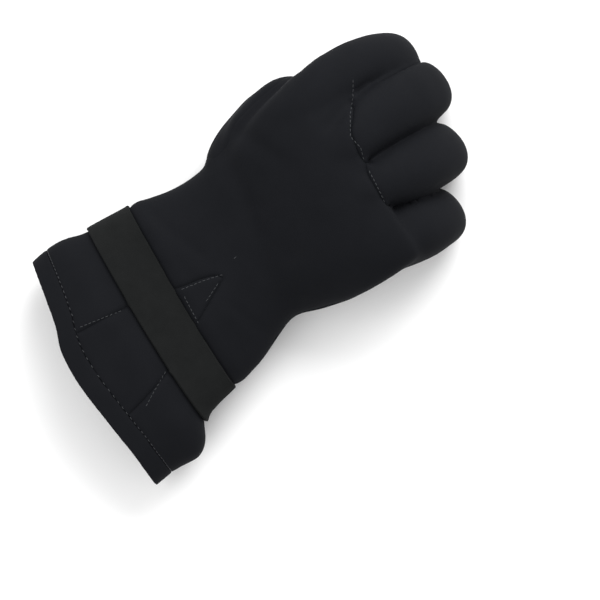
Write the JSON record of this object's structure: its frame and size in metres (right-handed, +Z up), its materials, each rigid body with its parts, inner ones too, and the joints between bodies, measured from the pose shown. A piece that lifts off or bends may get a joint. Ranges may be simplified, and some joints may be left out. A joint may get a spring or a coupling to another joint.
{
  "type": "diving glove",
  "caption": "Right five-finger neoprene diving glove lying palm down, with curved fingers, a textured palm, a V-shaped cuff gusset and a hook-and-loop wrist strap.",
  "frame": {"origin": "middle of the glove's box, on the surface that it lies on", "axes": "+Y towards the fingertips, +X towards the little finger, +Z up off the back of the hand"},
  "size_m": [0.149, 0.2758, 0.0698],
  "materials": {
    "neoprene": "matte nylon-faced neoprene, bluish black",
    "palm_knit": "rough reinforced knit, dark grey green with lighter specks",
    "strap_loop": "brushed loop tape, greenish black"
  },
  "bodies": {
    "root": {"back_panel": "neoprene", "middle_back": "neoprene", "ring_back": "neoprene", "fourchette_index_middle": "neoprene", "fourchette_middle_ring": "neoprene", "fourchette_ring_little": "neoprene", "palm_panel": "palm_knit", "thumb_back": "neoprene", "wrist_palm_panel": "neoprene", "cuff_gusset": "neoprene", "cuff_hem": "neoprene", "wrist_strap": "strap_loop", "strap_end": "strap_loop"}
  },
  "joints": []
}
